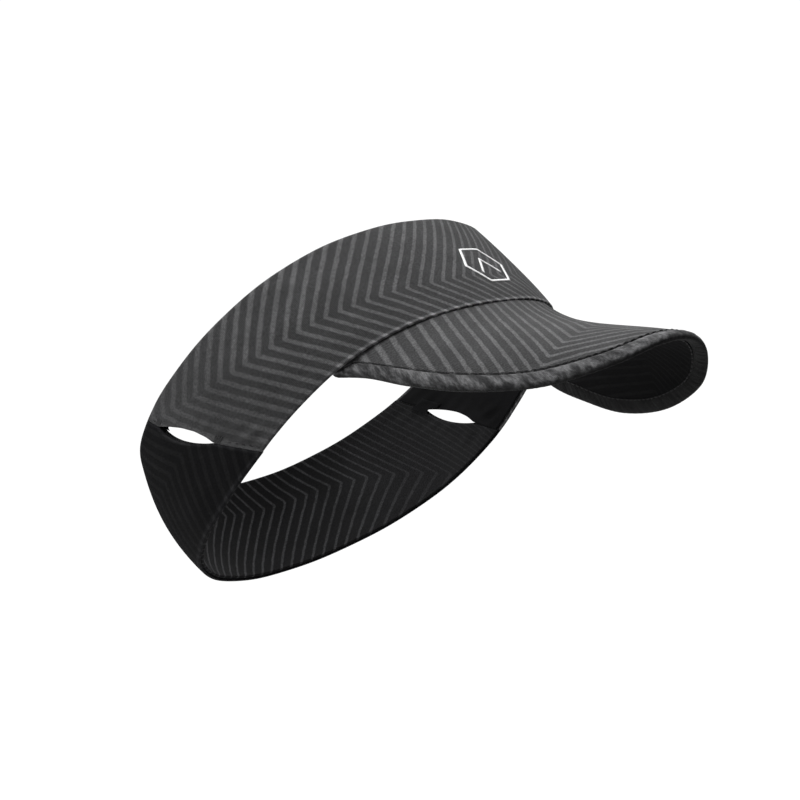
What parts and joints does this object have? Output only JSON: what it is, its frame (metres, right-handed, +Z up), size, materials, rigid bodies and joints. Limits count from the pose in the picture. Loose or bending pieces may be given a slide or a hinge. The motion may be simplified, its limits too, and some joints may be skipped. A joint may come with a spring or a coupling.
{
  "type": "sun visor",
  "caption": "Soft open-top sun visor with a chevron-patterned stretch band, a slit in each side seam and a short curved brim with a padded rim.",
  "frame": {"origin": "centre of the head opening, level with the band's lower edge", "axes": "+X to the wearer's front, +Y to the wearer's left, +Z up, with the band tilted 37 degrees front up so that the brim is about level"},
  "size_m": [0.2466, 0.161, 0.1376],
  "materials": {
    "chevron_cloth": "fine matte stretch knit, charcoal with lighter grey chevrons",
    "plain_lining": "plain black matte knit",
    "under_cloth": "near-black matte knit with faint chevrons",
    "rim_cloth": "mottled charcoal knit over a padded roll",
    "foam": "closed-cell foam",
    "elastic": "woven flat elastic",
    "thread": "matte polyester thread",
    "emblem_print": "thin flexible light print"
  },
  "bodies": {
    "band": {"front_outer_panel": "chevron_cloth", "front_foam": "foam", "front_lining": "plain_lining", "emblem_print": "emblem_print", "left_seam_stitching": "thread", "right_seam_stitching": "thread", "left_slit_bartacks": "thread", "right_slit_bartacks": "thread", "left_slit_tape": "plain_lining", "right_slit_tape": "plain_lining"},
    "rear": {"rear_outer_panel": "chevron_cloth", "rear_upper_elastic": "elastic", "rear_lower_elastic": "elastic", "rear_inner_panel": "chevron_cloth"},
    "brim": {"brim_top_cover": "chevron_cloth", "brim_stiffener": "foam", "brim_under_cover": "under_cloth", "brim_rim": "rim_cloth", "brim_topstitching": "thread", "brim_under_stitching": "thread", "brim_seam_tape": "plain_lining", "brim_seam_stitching": "thread"}
  },
  "joints": [
    {"name": "brim_flex", "type": "hinge", "parent": "band", "child": "brim", "pos_m": [0.07272, 0, 0.05105], "axis": [0, -1, 0], "range_deg": [0, 16], "stiffness_Nm_per_rad": 0.6},
    {"name": "rear_stretch", "type": "slide", "parent": "band", "child": "rear", "axis": [-0.7986, 0, -0.6018], "range_m": [0, 0.012], "stiffness_N_per_m": 250}
  ]
}
